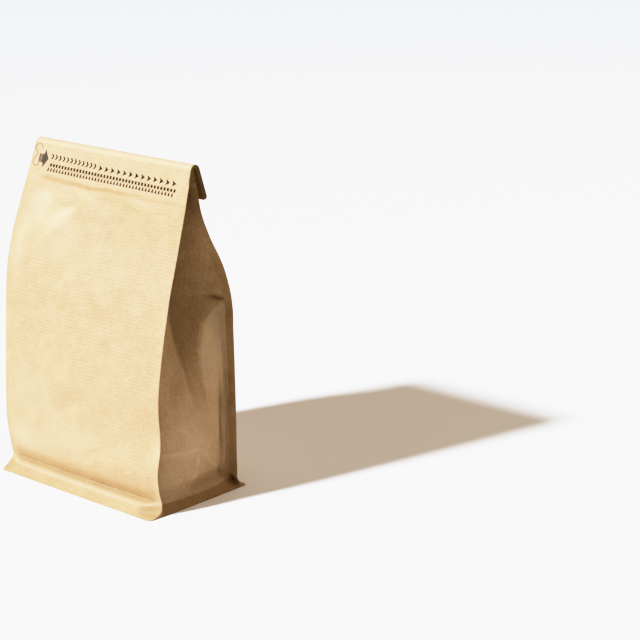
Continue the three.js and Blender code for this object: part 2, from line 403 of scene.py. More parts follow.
def front_relief(x, z):
    """How far the front's paper stands out of its smooth form, in millimetres."""
    above = z - zip_height(x)
    strong = smooth(x, -64, -44) * mix(1, 0.45, smooth(x, -6, 25)) * (1 - 0.6 * smooth(x, 58, 65))
    step = ZIP_RIDGE * np.exp(-np.maximum(above, 0) / 6)
    step = step - (ZIP_RIDGE + ZIP_GROOVE) * smooth(-above, -0.4, ZIP_STEP)
    out = strong * mix(step, 0, smooth(-above, ZIP_STEP, 24))
    for values in FRONT_DENTS:
        out = out + dent(x, z, *values)
    for start, end, height, width in FRONT_CREASES:
        out = out + crease(x, z, start, end, height, width)
    loose = mix(0.55, 1.2, smooth(z, 60, 160)) * (1 - 0.8 * smooth(above, -3, 3))
    out = out + loose * crumple(x, z, CRUMPLE_SEED)
    edge = np.abs(x)
    out = out * (1 - 0.7 * smooth(edge, 57, 63)) - SEAM_DEPTH * bell(edge, SEAM_X, SEAM_WIDTH)
    low = (1 - smooth(z, 20, EDGE_FLARE_TOP)) * smooth(z, 6, 16)
    out = out + EDGE_FLARE * low * np.clip((edge - 61.5) / 3.5, 0, 1) ** 2
    out = out * smooth(z, VALLEY_HEIGHT - 1, VALLEY_HEIGHT + 5)
    pressed = smooth(edge, 63, 50) * mix(1, 0.7, smooth(x, 0, 50))
    return out - VALLEY_GROOVE * pressed * bell(z, VALLEY_HEIGHT + 0.5, 3.6)


def back_relief(x, z):
    """How far the back's paper stands out of its smooth form, in millimetres."""
    edge = np.abs(x)
    out = 1.3 * crumple(x, z, CRUMPLE_SEED + 20) * (1 - 0.7 * smooth(edge, 57, 63))
    out = out - SEAM_DEPTH * bell(edge, SEAM_X, SEAM_WIDTH)
    for start, end, height, width in BACK_CREASES:
        out = out + crease(x, z, start, end, height, width)
    return out * smooth(z, VALLEY_HEIGHT - 1, VALLEY_HEIGHT + 5) * (1 - 0.7 * smooth(z, 176, 190))


def side_relief(side, y, z, root):
    """How far a side's paper stands out of its smooth form, in millimetres.

    The depth y is taken from the side's middle crease, and root is the depth of the seal's root."""
    out = 0.7 * crumple(y, z, CRUMPLE_SEED + 40 + side)
    out = out + 0.22 * soft_noise(y, z, 7, CRUMPLE_SEED + 60 + side)
    for start, end, height, width in SIDE_CREASES:
        out = out + crease(y, z, start, end, height, width)
    line = ridge_line(z)
    rising, falling = y / line, (root - y) / np.maximum(root - line, 1)
    tent = (rising + falling - np.sqrt((rising - falling) ** 2 + RIDGE_SOFT ** 2)) / 2
    out = out + ridge_out(z) * np.clip(tent, 0, 1)
    for values in SIDE_DENTS:
        out = out + dent(y, z, *values)
    return out - SIDE_GROOVE * mix(0.35, 1, smooth(y, -10, -2)) * bell(z, 8.5, 5.5)


def base_edge(x):
    """Half the depth of the base at x, less where its corner is rounded."""
    past = np.maximum(np.abs(x) - BASE_WIDTH / 2 + BASE_CORNER_RADIUS, 0)
    round_part = np.sqrt(np.maximum(BASE_CORNER_RADIUS ** 2 - past ** 2, 0))
    return BASE_DEPTH / 2 - BASE_CORNER_RADIUS + round_part


def lip_flare(x, z, bend_right):
    """How far a lip has run out at a height, from 0 in the valley to 1 on the floor.

    It is a face up to a rounded ridge and a shelf behind it, and near the corners a curve close to
    the floor."""
    rise = np.clip(z / VALLEY_HEIGHT, 0, 1)
    face = 1 - (1 - RIDGE_FLARE) / RIDGE_RISE * rise
    shelf = RIDGE_FLARE / (1 - RIDGE_RISE) * (1 - rise)
    ridged = (face + shelf - np.sqrt((face - shelf) ** 2 + RIDGE_ROUND * rise * (1 - rise))) / 2
    near_corner = smooth(np.abs(x), HALF_WIDTH - 2 * SEAL_WIDTH, HALF_WIDTH)
    bend = np.where(x > 0, bend_right, LIP_BEND_LEFT)
    return mix(np.clip(ridged, 0, 1), (1 - rise) ** bend, near_corner)


def panel_depth(left, right, swell, relief, bend_right, x, z):
    """Depth of a panel, with its lip, at x and a height."""
    edge = mix(left(z), right(z), across_bag(x))
    swollen = edge + swell(z) * np.sin(np.pi * across_bag(x)) ** 0.8 + relief(x, z)
    return mix(swollen, base_edge(x), lip_flare(x, z, bend_right))


def front_y(x, z):
    """The front's outer face."""
    return -panel_depth(front_left, front_right, front_swell, front_relief, LIP_BEND_RIGHT, x, z)


def back_y(x, z):
    """The back's outer face."""
    return panel_depth(back_left, back_right, back_swell, back_relief, LIP_BEND_BACK_RIGHT, x, z)


def half_width_at(z):
    """Half the width of the panels at a height: the side lips run out a little at the floor."""
    return mix(BASE_WIDTH / 2, HALF_WIDTH, np.clip(z / SIDE_VALLEY_HEIGHT, 0, 1))


def crowded(count):
    """Values from -1 to 1, closer together towards both ends."""
    t = np.linspace(-1, 1, count + 1)
    return mix(t, np.sin(np.pi / 2 * t), EDGE_CROWDING)


def side_stations():
    """What each point round a side belongs to, from the front seal's edge to the back seal's edge."""
    edge = [("edge", k / (EDGE_STEPS + 1)) for k in range(1, EDGE_STEPS + 1)]
    face = [("face", k / SEAL_STEPS) for k in range(SEAL_STEPS)]
    front = [(part, -1, at) for part, at in edge + face]
    half = ACROSS_HALF_GUSSET
    gusset = [("gusset", 0, k / half) for k in range(-half, half + 1)]
    back = [(part, 1, at) for part, at in reversed(edge + face)]
    return front + gusset + back


STATIONS = side_stations()


def gusset_point(side, z, along):
    """A point of a side at a height, from along = -1 at the front seal's root to 1 at the back seal's."""
    root = np.full_like(z, side * SEAL_ROOT_X)
    front, back = front_y(root, z), back_y(root, z)
    seal = np.minimum(SEAL_THICKNESS, (back - front) / 4)
    half_gap = (back - front) / 2 - seal
    inward = 1 - abs(along)
    y = (front + back) / 2 + half_gap * along
    swell = gusset_swell(z) * math.sin(math.pi * inward)
    held = min(1, 6 * inward) * smooth(z, SIDE_VALLEY_HEIGHT, 14) * smooth(half_gap, 4, 14)
    relief = side_relief(side, half_gap * along, z, half_gap) * held
    x = mix(SEAL_ROOT_X, crease_out(z), inward) + swell + relief
    return np.stack([side * x, y, z], -1)


def seal_point(side, z, tip, part, end, at):
    """A point round a seal's free edge, or on its face towards the side fold."""
    tip_front, tip_back = front_y(tip, z), back_y(tip, z)
    thickness = mix(SEAL_EDGE, SEAL_THICKNESS, at if part == "face" else 0)
    seal = np.minimum(thickness, (tip_back - tip_front) / 4)
    if part == "edge":
        outer = tip_front if end < 0 else tip_back
        x = tip + side * EDGE_ROUND * math.sin(math.pi * at)
        return np.stack([x, outer - end * seal * (1 - math.cos(math.pi * at)) / 2, z], -1)
    x = mix(tip, side * SEAL_ROOT_X, at)
    outer = front_y(x, z) if end < 0 else back_y(x, z)
    return np.stack([x, outer - end * seal, z], -1)


def layered_edge(side, front, back, fraction):
    """The side edge of a closed thickness, rounded, with fine grooves between its layers."""
    point = mix(front, back, fraction)
    layers = LAYER_GROOVE * abs(math.sin(math.pi * LAYER_COUNT * fraction))
    point[..., 0] += side * (EDGE_ROUND * math.sin(math.pi * fraction) - LAYER_GROOVE + layers)
    return point


def body_side(side, z):
    """One side of the body at all heights, from the front seal round the side fold to the back seal."""
    tip = side * (half_width_at(z) - EDGE_ROUND)
    front = np.stack([tip, front_y(tip, z), z], -1)
    back = np.stack([tip, back_y(tip, z), z], -1)
    open_share = np.clip(z / SIDE_VALLEY_HEIGHT, 0, 1) * (1 - smooth(z, FOLDS_CLOSE_FROM, FOLDS_CLOSE_AT))
    columns = []
    for i, (part, end, at) in enumerate(STATIONS):
        closed = layered_edge(side, front, back, (i + 1) / (len(STATIONS) + 1))
        shaped = gusset_point(side, z, at) if part == "gusset" else seal_point(side, z, tip, part, end, at)
        columns.append(mix(closed, shaped, open_share[:, None]))
    return np.stack(columns, 1)


def body_rings(z):
    """Closed rings of the body at the heights z: front, right side, back and left side."""
    across = crowded(ACROSS_PANEL)[None, :] * (half_width_at(z) - EDGE_ROUND)[:, None]
    heights = np.broadcast_to(z[:, None], across.shape)
    front = np.stack([across, front_y(across, heights), heights], -1)
    back = np.stack([across, back_y(across, heights), heights], -1)[:, ::-1]
    return np.concatenate([front, body_side(1, z), back, body_side(-1, z)[:, ::-1]], 1)


def band_ring(reach, outer, inner):
    """A closed ring of the folded band, given its half width and its outer and inner (y, drop) points."""
    def place(x, point):
        fold_y = mix(FOLD_Y_LEFT, FOLD_Y_RIGHT, across_bag(x))
        return np.stack([x, fold_y + point[0], np.full_like(x, FOLDED_HEIGHT - point[1])], -1)

    across = crowded(ACROSS_PANEL) * reach
    outside, inside = place(across, outer), place(across, inner)
    fractions = (np.arange(len(STATIONS)) + 1) / (len(STATIONS) + 1)
    right = np.stack([layered_edge(1, outside[-1], inside[-1], f) for f in fractions])
    left = np.stack([layered_edge(-1, outside[0], inside[0], f) for f in fractions])
    return np.concatenate([outside, right, inside[::-1], left[::-1]])


def on_fold(radius, angle):
    """A (y, drop) point of the top fold, at a radius and an angle up from straight back."""
    return radius * math.cos(angle), FOLD_RADIUS - radius * math.sin(angle)


def fold_rings():
    """The rings over the top fold, and how far up the paper each lies past the panel's top."""
    angles = np.linspace(FOLD_START, FOLD_END, FOLD_STEPS, endpoint=False)
    reach = HALF_WIDTH - EDGE_ROUND
    rings = [band_ring(reach, on_fold(FOLD_RADIUS, a), on_fold(FOLD_WALL, a)) for a in angles]
    return rings, list(FOLD_RADIUS * (FOLD_START - angles))


def flap_rings(flap_length):
    """The rings down the flap, which thins below the fold and has rounded lower corners."""
    corner_start = flap_length - FLAP_CORNER_RADIUS
    lengths = list(np.linspace(0, corner_start, FLAP_STEPS, endpoint=False))
    quarter = np.linspace(0, math.pi / 2, CORNER_STEPS + 1)
    lengths += list(corner_start + FLAP_CORNER_RADIUS * np.sin(quarter))
    start_y, start_drop = on_fold(FOLD_RADIUS, FOLD_END)
    rings = []
    for length in lengths:
        wall = mix(FOLD_WALL, FLAP_THICKNESS, min(2 * length / flap_length, 1))
        past = max(length - corner_start, 0) / FLAP_CORNER_RADIUS
        rounding = FLAP_CORNER_RADIUS * (1 - math.sqrt(max(1 - past ** 2, 0)))
        y = start_y + length * math.sin(FOLD_END)
        drop = start_drop + length * math.cos(FOLD_END)
        inner = (y - wall * math.cos(FOLD_END), drop + wall * math.sin(FOLD_END))
        rings.append(band_ring(HALF_WIDTH - EDGE_ROUND - rounding, (y, drop), inner))
    return rings, lengths


def steps(start, end, count):
    """Evenly spaced heights from start up to, and without, end."""
    return np.linspace(start, end, count, endpoint=False)


def bag_rings(flap_length):
    """All rings from the floor over the top fold to the flap's end, and each one's running height."""
    heights = np.concatenate([
        steps(0, SIDE_VALLEY_HEIGHT, LIP_STEPS),
        steps(SIDE_VALLEY_HEIGHT, VALLEY_HEIGHT, VALLEY_STEPS),
        steps(VALLEY_HEIGHT, STAR_HEIGHT, LOWER_STEPS),
        steps(STAR_HEIGHT, PANEL_TOP, UPPER_STEPS),
    ])
    over, over_lengths = fold_rings()
    down, down_lengths = flap_rings(flap_length)
    flap_start = PANEL_TOP + FOLD_RADIUS * (FOLD_START - FOLD_END)
    over_run = [PANEL_TOP + length for length in over_lengths]
    down_run = [flap_start + length for length in down_lengths]
    rings = np.concatenate([body_rings(heights), np.stack(over + down)])
    return rings, np.array(list(heights) + over_run + down_run)


def bag_faces(ring_count, count):
    """Quads between the rings, a fan under the foot and a strip over the flap's end."""
    around = np.arange(count)
    after = (around + 1) % count
    low = np.arange(ring_count - 1)[:, None] * count
    high = low + count
    quads = np.stack([low + around, low + after, high + after, high + around], -1).reshape(-1, 4)
    foot = ring_count * count
    faces = quads.tolist() + [[foot, int(b), int(a)] for a, b in zip(around, after)]
    end = (ring_count - 1) * count
    side = len(STATIONS)
    for i in range(ACROSS_PANEL):
        back = ACROSS_PANEL + side + 1 + ACROSS_PANEL - i
        faces.append([end + i, end + i + 1, end + back - 1, end + back])
    right = end + ACROSS_PANEL
    for i in range(side):
        left = end + count - side + i
        before = end + (count - side + i - 1)
        faces.append([right, right + 1 + i, right + 2 + i])
        faces.append([end, before, left])
    return faces


def ring_mask(*names):
    """A row with 1 for the points of a ring that lie on the named parts, and 0 for the others."""
    front, back = [[float(name in names)] * (ACROSS_PANEL + 1) for name in ("front", "back")]
    side = [float(part in names) for part, _, _ in STATIONS]
    return np.array([front + side + back + side[::-1]])


ON_FRONT, ON_BACK = ring_mask("front"), ring_mask("back")
ON_PANEL = ring_mask("front", "back")
ON_EDGE, ON_SEAL, ON_FOLD = ring_mask("edge"), ring_mask("edge", "face"), ring_mask("gusset")
ON_SIDE = ON_SEAL + ON_FOLD


def below_band(up):
    """1 on the body, and 0 on the band above the place where the side folds close."""
    return 1 - smooth(up, FOLDS_CLOSE_FROM, FOLDS_CLOSE_AT)


def foot_of_side(z):
    """1 on the lip at the foot of a side, and 0 above it."""
    return 1 - smooth(z, SIDE_VALLEY_HEIGHT - 0.4, SIDE_VALLEY_HEIGHT + 0.8)


def sealed_and_shaded_paper(x, y, z, up):
    """How far the paper is tinted deeper: pressed flat at the heat seals and the lips, with painted shade
    above the front and back lips, in the zip's groove, on the upper front and up the side folds.
    """
    seals = ON_SEAL * smooth(z, VALLEY_HEIGHT - 2.5, VALLEY_HEIGHT)
    face = LIP_SEAL * smooth(RIDGE_RISE * VALLEY_HEIGHT - z, 0, 1.5)
    sealed = np.maximum(seals, ON_SIDE * foot_of_side(z) + ON_PANEL * face) * below_band(up)
    # Painted shade: a deeper band just above the front and back lips, where the panel turns in over the lip
    above_lip_shade = smooth(z, VALLEY_HEIGHT - 1.8, VALLEY_HEIGHT - 0.8)
    above_lip_shade = above_lip_shade * (1 - smooth(z, VALLEY_HEIGHT + 3, VALLEY_HEIGHT + 10))
    sealed = np.maximum(sealed, above_lip_shade * ON_PANEL * smooth(HALF_WIDTH - np.abs(x), 2, 7))
    # Painted shade in the groove under the zip line, strongest on the left
    width = mix(2.2, 1.0, smooth(x, -40, -15))
    zip_groove_shade = bell(z, zip_height(x) - 1.5, width) * smooth(x, -58, -47) * mix(1, 0.4, smooth(x, 5, 45))
    # Painted shade over the upper front, which leans back into the light
    upper_shade = UPPER_FRONT_SHADE * smooth(z, 135, 160) * (1 - smooth(z, 172, 180))
    before_fold = ON_FRONT * (1 - smooth(up, PANEL_TOP - 4, PANEL_TOP))
    sealed = np.maximum(sealed, np.maximum(zip_groove_shade, upper_shade) * before_fold)
    # Painted shade up the side folds, stronger higher up
    folds = ON_FOLD * below_band(up) * FOLD_DEEP_SHADE * mix(0.4, 1, smooth(up, 30, 120))
    return np.maximum(sealed, folds) * (1 - 0.75 * ON_EDGE * (y < 0))


def painted_shade_on_paper(x, y, z, up):
    """How far painted shade darkens the paper: on the band's cut side edges, on the inside of the top fold
    and flap, on the side lips, above the front and back lips, near the top of the seals and in the side
    folds.
    """
    # Painted shade on the rear half of each side fold behind its middle crease, and in the valley beside the
    # rear seal
    crease_side = CREASE_SHADE * smooth(y, -0.5, 1) * np.exp(-np.maximum(y, 0) / 9) * smooth(up, 50, 80)
    valley = VALLEY_SHADE * bell(y, 25.2, 2.4) * smooth(up, 10, 30) * (1 - smooth(up, 55, 75))
    # Painted shade up the side folds, more under the flap, with spots of painted shade
    folds = FOLDED_SHADE * mix(0.15, 1, smooth(up, 60, 130)) + FOLD_TOP_SHADE * smooth(up, 170, 184)
    folds = folds + crease_side + valley + sum(dent(y, z, *values) for values in SIDE_SHADES)
    # Painted shade along the concave corner above the front and back lips
    corner = LIP_CORNER_SHADE * bell(z, VALLEY_HEIGHT + 0.4, 1.1) * smooth(HALF_WIDTH - np.abs(x), 2, 7)
    # Painted shade on the band's side edges, inside the fold and flap, on the side lips, at the lip corners,
    # near the top of the seals and in the side folds
    zones = [
        ON_SIDE * (1 - below_band(up)),
        ON_BACK * TUCKED_SHADE * smooth(up, PANEL_TOP, PANEL_TOP + 1),
        ON_SIDE * FOOT_SHADE * foot_of_side(z),
        ON_PANEL * corner,
        ON_SEAL * below_band(up) * SEAL_TOP_SHADE * smooth(up, 150, 178),
        ON_FOLD * below_band(up) * np.minimum(folds, 1),
    ]
    return np.max(np.broadcast_arrays(*zones), axis=0)


def painted_highlight_on_paper(x, y, z, up):
    """How far painted highlights pale the paper: along the side creases, on a facet and spots of each side
    fold, on the lip ridges, over the top fold and in patches on the front.
    """
    # Painted light on the facet behind each side fold's ridge, stronger on the right
    facet = smooth(y - facet_edge(z), -1, 0.8) * smooth(z, 50, 85) * (1 - smooth(z, 111, 116))
    folds = np.where(x > 0, FACET_LIGHT_RIGHT, FACET_LIGHT_LEFT) * facet
    folds = folds + sum(dent(y, z, *values) for values in SIDE_HIGHLIGHTS)
    for start, end, height, width in SIDE_CREASES:
        if height > 0:
            folds = folds + CREASE_HIGHLIGHT * crease(y, z, start, end, min(height / 0.35, 1), width)
    # Painted highlights along the lip ridges and over the top fold
    ridge = RIDGE_HIGHLIGHT * bell(z, RIDGE_RISE * VALLEY_HEIGHT + 0.3, 0.7)
    ridge = ridge * smooth(HALF_WIDTH - np.abs(x), 3, 8)
    over_fold = smooth(up, PANEL_TOP - 1, PANEL_TOP + 1) * (1 - smooth(up, PANEL_TOP + 7, PANEL_TOP + 10))
    ridges = np.maximum(ON_PANEL * ridge, ON_FRONT * TOP_FOLD_HIGHLIGHT * over_fold)
    # Patches of painted highlight on the front
    patches = sum(dent(x, z, *values) for values in HIGHLIGHT_PATCHES)
    patches = patches * mix(0.6, 1.4, smooth(crumple(x, z, PATCH_SEED), -0.5, 0.5))
    return ridges + below_band(up) * (ON_FOLD * folds + ON_FRONT * patches)


def paper_attributes(rings, running):
    """Per point: the coordinate across the ribs and the one along them, in metres; how far the paper is
    tinted deeper by heat sealing and painted shade, darkened by painted shade and paled by painted
    highlights;
    and whether it is on a side."""
    x, y, z = rings[..., 0], rings[..., 1], rings[..., 2]
    up = running[:, None]
    on_side = ON_SIDE * below_band(up)
    paper_steps = np.linalg.norm(np.diff(rings[:, ACROSS_PANEL // 2], axis=0), axis=-1)
    along = np.concatenate([[0], np.cumsum(paper_steps)])[:, None]
    return {
        "rib": mix(along, y, on_side) * MM,
        "grain": mix(x, up, on_side) * MM,
        "sealed": sealed_and_shaded_paper(x, y, z, up),
        "shade": painted_shade_on_paper(x, y, z, up),
        "worn": painted_highlight_on_paper(x, y, z, up),
        "side": on_side,
    }


def make_bag_mesh(name, flap_length):
    """The whole bag as one closed mesh with its attributes."""
    rings, running = bag_rings(flap_length)
    ring_count, count = rings.shape[:2]
    points = np.concatenate([rings.reshape(-1, 3), [[0, 0, 0]]]) * MM
    mesh = bpy.data.meshes.new(name)
    mesh.from_pydata(points.tolist(), [], bag_faces(ring_count, count))
    mesh.validate()
    for key, values in paper_attributes(rings, running).items():
        attribute = mesh.attributes.new(key, "FLOAT", "POINT")
        attribute.data.foreach_set("value", np.append(values.ravel(), values[0, 0]).astype(np.float32))
    mesh.shade_smooth()
    return mesh


def linear(hex_colour):
    """An sRGB hex colour as linear red, green, blue and alpha."""
    parts = [int(hex_colour[i:i + 2], 16) / 255 for i in (1, 3, 5)]
    return [c / 12.92 if c <= 0.04045 else ((c + 0.055) / 1.055) ** 2.4 for c in parts] + [1.0]


def add_node(tree, kind, links=None, **settings):
    """Adds a node, sets its properties and its inputs by name or number, and links what is given."""
    node = tree.nodes.new(kind)
    for key, value in settings.items():
        setattr(node, key, value)
    for key, value in (links or {}).items():
        socket = node.inputs[key]
        if isinstance(value, bpy.types.NodeSocket):
            tree.links.new(value, socket)
        else:
            socket.default_value = value
    return node


def new_material(name):
    """An empty node material, and its tree."""
    material = bpy.data.materials.new(name)
    material.use_nodes = True
    material.node_tree.nodes.clear()
    return material, material.node_tree


def kraft_paper(settings):
    """Ribbed brown kraft paper, machine glazed.

    Long pale and brown fibres give it a cloudy, slightly warm look, and the fine ribs from the dryer
    felt run across the panels and up the sides. Zones pressed flat by heat sealing look deeper, and the
    same deeper tint is painted shade above the lips, in the zip's groove, on the upper front and up the
    side folds. A darker tint is painted shade, and a pale one painted highlights."""
    material, tree = new_material("ribbed_kraft_paper")
    rib, grain, sealed, shade, worn, side = [
        add_node(tree, "ShaderNodeAttribute", attribute_name=name).outputs["Fac"]
        for name in ("rib", "grain", "sealed", "shade", "worn", "side")
    ]
    place = add_node(tree, "ShaderNodeTexCoord").outputs["Object"]
    on_sheet = add_node(tree, "ShaderNodeCombineXYZ", {0: grain, 1: rib}).outputs[0]
    in_fibres = add_node(tree, "ShaderNodeVectorMath", {
        0: on_sheet, 1: (1 / (FIBRE_LENGTH * MM), 1 / (FIBRE_WIDTH * MM), 0),
    }, operation="MULTIPLY").outputs[0]
    fibres, clouds, specks = [
        add_node(tree, "ShaderNodeTexNoise", {
            "Vector": at, "Scale": scale, "Detail": detail, "Roughness": rough,
        }).outputs[0]
        for at, scale, detail, rough in (
            (in_fibres, 1.0, 3.0, 0.6),
            (place, 1 / (CLOUD_SIZE * MM), 5.0, 0.68),
            (place, 1 / (SPECK_SIZE * MM), 3.0, 0.6),
        )
    ]

    turn = 2 * math.pi
    sway = add_node(tree, "ShaderNodeMath", {
        0: clouds, 1: RIB_SWAY * turn, 2: -RIB_SWAY * turn / 2,
    }, operation="MULTIPLY_ADD").outputs[0]
    phase = add_node(tree, "ShaderNodeMath", {
        0: rib, 1: turn / settings.rib_pitch, 2: sway,
    }, operation="MULTIPLY_ADD").outputs[0]
    wave = add_node(tree, "ShaderNodeMath", {0: phase}, operation="SINE").outputs[0]
    unpressed = 1.0
    for value, weight in ((sealed, -0.5), (side, -0.45)):
        unpressed = add_node(tree, "ShaderNodeMath", {
            0: value, 1: weight, 2: unpressed,
        }, operation="MULTIPLY_ADD").outputs[0]
    ribs = add_node(tree, "ShaderNodeMath", {0: wave, 1: unpressed}, operation="MULTIPLY").outputs[0]

    # Each of these is a start value and what is added to it, as values with their weights
    sums = {
        "tone": (-0.5, (clouds, 0.36), (fibres, 0.24), (specks, 0.4), (ribs, 0.02)),
        "contrast": (1.25, (side, 1.1)),
        "relief": (0.0, (ribs, 0.45), (fibres, 0.5), (specks, 1.0)),
        "roughness": (0.72, (fibres, -0.14), (side, 0.04)),
        "gloss": (0.36, (shade, -0.3), (side, -0.15)),
    }
    totals = {}
    for name, (total, *parts) in sums.items():
        for value, weight in parts:
            total = add_node(tree, "ShaderNodeMath", {
                0: value, 1: weight, 2: total,
            }, operation="MULTIPLY_ADD").outputs[0]
        totals[name] = total
    tone = add_node(tree, "ShaderNodeMath", {
        0: totals["tone"], 1: totals["contrast"], 2: 0.5,
    }, operation="MULTIPLY_ADD").outputs[0]
    gloss = add_node(tree, "ShaderNodeMath", {0: totals["gloss"], 1: 0.04}, operation="MAXIMUM").outputs[0]

    ramp = add_node(tree, "ShaderNodeValToRGB", {"Fac": tone})
    deep, pale = ramp.color_ramp.elements
    deep.position, deep.color = 0.34, settings.paper_deep
    pale.position, pale.color = 0.66, settings.paper_pale
    ramp.color_ramp.elements.new(0.5).color = settings.paper
    colour = ramp.outputs["Color"]
    # The deeper tint of heat seals and painted shade, then the tint of painted shade, then the pale colour of
    # painted highlights
    for value, strength, tint, blend in (
        (sealed, 0.85, settings.paper_sealed_and_shade, "MULTIPLY"),
        (shade, 1.0, settings.paper_painted_shade, "MULTIPLY"),
        (worn, 0.6, settings.paper_highlight, "MIX"),
    ):
        share = add_node(tree, "ShaderNodeMath", {0: value, 1: strength}, operation="MULTIPLY").outputs[0]
        colour = add_node(tree, "ShaderNodeMix", {
            "Factor": share, 6: colour, 7: tint,
        }, data_type="RGBA", blend_type=blend).outputs[2]

    bump = add_node(tree, "ShaderNodeBump", {
        "Height": totals["relief"], "Distance": 0.05 * MM, "Strength": 0.9,
    }).outputs[0]
    shader = add_node(tree, "ShaderNodeBsdfPrincipled", {
        "Base Color": colour, "Roughness": totals["roughness"], "Normal": bump,
        "IOR": 1.45, "Specular IOR Level": gloss,
    })
    add_node(tree, "ShaderNodeOutputMaterial", {"Surface": shader.outputs[0]})
    return material


def printing_ink(name, colour, uneven):
    """Water-based flexographic ink: thin, matt, soaked a little unevenly into the paper."""
    material, tree = new_material(name)
    place = add_node(tree, "ShaderNodeTexCoord").outputs["Object"]
    soak = add_node(tree, "ShaderNodeTexNoise", {
        "Vector": place, "Scale": 1 / (SOAK_SIZE * MM), "Detail": 2.0,
    }).outputs[0]
    ramp = add_node(tree, "ShaderNodeValToRGB", {"Fac": soak})
    full, thin = ramp.color_ramp.elements
    full.position, full.color = 0.4, colour
    thin.position, thin.color = 0.75, [mix(c, d, uneven) for c, d in zip(colour, linear(PAPER_UNDER_INK))]
    shader = add_node(tree, "ShaderNodeBsdfPrincipled", {
        "Base Color": ramp.outputs["Color"], "Roughness": 0.85, "Specular IOR Level": 0.05,
    })
    add_node(tree, "ShaderNodeOutputMaterial", {"Surface": shader.outputs[0]})
    return material


def link_object(name, mesh):
    """A new object for a mesh, in the scene."""
    obj = bpy.data.objects.new(name, mesh)
    bpy.context.scene.collection.objects.link(obj)
    return obj


def ink_plate(name, outlines, divide=0):
    """A thin closed plate of ink for each outline of (x, height) points, upright in the XZ plane."""
    points, faces = [], []
    for outline in outlines:
        first, count = len(points), len(outline)
        points += [(x * MM, -INK_OUT * MM, z * MM) for x, z in outline]
        points += [(x * MM, INK_IN * MM, z * MM) for x, z in outline]
        front, back = range(first, first + count), range(first + count, first + 2 * count)
        faces.append(list(front))
        faces.append(list(reversed(back)))
        for i in range(count):
            j = (i + 1) % count
            faces.append([front[i], back[i], back[j], front[j]])
    mesh = bpy.data.meshes.new(name)
    mesh.from_pydata(points, [], faces)
    mesh.validate()
    return link_object(name, mesh)


def group_with(name, inputs):
    """A new Geometry Nodes tree with named inputs, its group input node, and each input's identifier."""
    tree = bpy.data.node_groups.new(name, "GeometryNodeTree")
    tree.interface.new_socket(name="Geometry", in_out="INPUT", socket_type="NodeSocketGeometry")
    tree.interface.new_socket(name="Geometry", in_out="OUTPUT", socket_type="NodeSocketGeometry")
    identifiers = {}
    for key, kind in inputs.items():
        identifiers[key] = tree.interface.new_socket(name=key, in_out="INPUT", socket_type=kind).identifier
    return tree, add_node(tree, "NodeGroupInput").outputs, identifiers


def laid_on_paper(tree, geometry, paper):
    """Moves geometry made in the XZ plane along Y until it lies on the paper's front."""
    target = add_node(tree, "GeometryNodeObjectInfo", {"Object": paper}, transform_space="RELATIVE")
    position = add_node(tree, "GeometryNodeInputPosition").outputs[0]
    parts = add_node(tree, "ShaderNodeSeparateXYZ", {0: position}).outputs
    source = add_node(tree, "ShaderNodeCombineXYZ", {0: parts[0], 1: -0.2, 2: parts[2]}).outputs[0]
    ray = add_node(tree, "GeometryNodeRaycast", {
        "Target Geometry": target.outputs["Geometry"], "Source Position": source,
        "Ray Direction": (0.0, 1.0, 0.0), "Ray Length": 0.5,
    })
    hit = add_node(tree, "ShaderNodeSeparateXYZ", {0: ray.outputs["Hit Position"]}).outputs
    depth = add_node(tree, "ShaderNodeMath", {0: hit[1], 1: parts[1]}, operation="ADD").outputs[0]
    laid = add_node(tree, "ShaderNodeCombineXYZ", {0: parts[0], 1: depth, 2: parts[2]}).outputs[0]
    return add_node(tree, "GeometryNodeSetPosition", {"Geometry": geometry, "Position": laid}).outputs[0]


def finish_tree(tree, geometry, material):
    """Ends a tree in Realize Instances and Set Material."""
    real = add_node(tree, "GeometryNodeRealizeInstances", {0: geometry}).outputs[0]
    inked = add_node(tree, "GeometryNodeSetMaterial", {"Geometry": real, "Material": material}).outputs[0]
    add_node(tree, "NodeGroupOutput", {0: inked})


def mark_row_tree():
    """Repeats one mark along a straight row and lays the row on the paper."""
    tree, given, identifiers = group_with("tear_strip_row", {
        "Mark": "NodeSocketObject", "Paper": "NodeSocketObject", "Material": "NodeSocketMaterial",
        "Count": "NodeSocketInt", "Start": "NodeSocketVector", "Step": "NodeSocketVector",
    })
    row = add_node(tree, "GeometryNodeMeshLine", {
        "Count": given["Count"], "Start Location": given["Start"], "Offset": given["Step"],
    }, mode="OFFSET").outputs[0]
    mark = add_node(tree, "GeometryNodeObjectInfo", {"Object": given["Mark"]}).outputs["Geometry"]
    marks = add_node(tree, "GeometryNodeInstanceOnPoints", {"Points": row, "Instance": mark}).outputs[0]
    real = add_node(tree, "GeometryNodeRealizeInstances", {0: marks}).outputs[0]
    finish_tree(tree, laid_on_paper(tree, real, given["Paper"]), given["Material"])
    return tree, identifiers


def plate_tree():
    """Lays a ready plate on the paper."""
    tree, given, identifiers = group_with("tear_strip_plate", {
        "Paper": "NodeSocketObject", "Material": "NodeSocketMaterial", "Fineness": "NodeSocketInt",
    })
    finer = add_node(tree, "GeometryNodeSubdivideMesh", {
        "Mesh": given["Geometry"], "Level": given["Fineness"],
    }).outputs[0]
    finish_tree(tree, laid_on_paper(tree, finer, given["Paper"]), given["Material"])
    return tree, identifiers


def run_tree(obj, tree, identifiers, values):
    """Runs a tree on an object, keeps the result as a plain mesh and takes the modifier off."""
    modifier = obj.modifiers.new("nodes", "NODES")
    modifier.node_group = tree
    for key, value in values.items():
        modifier[identifiers[key]] = value
    bpy.context.view_layer.update()
    evaluated = obj.evaluated_get(bpy.context.evaluated_depsgraph_get())
    mesh = bpy.data.meshes.new_from_object(evaluated)
    obj.modifiers.remove(modifier)
    obj.data = mesh
    mesh.name = obj.name
    return obj


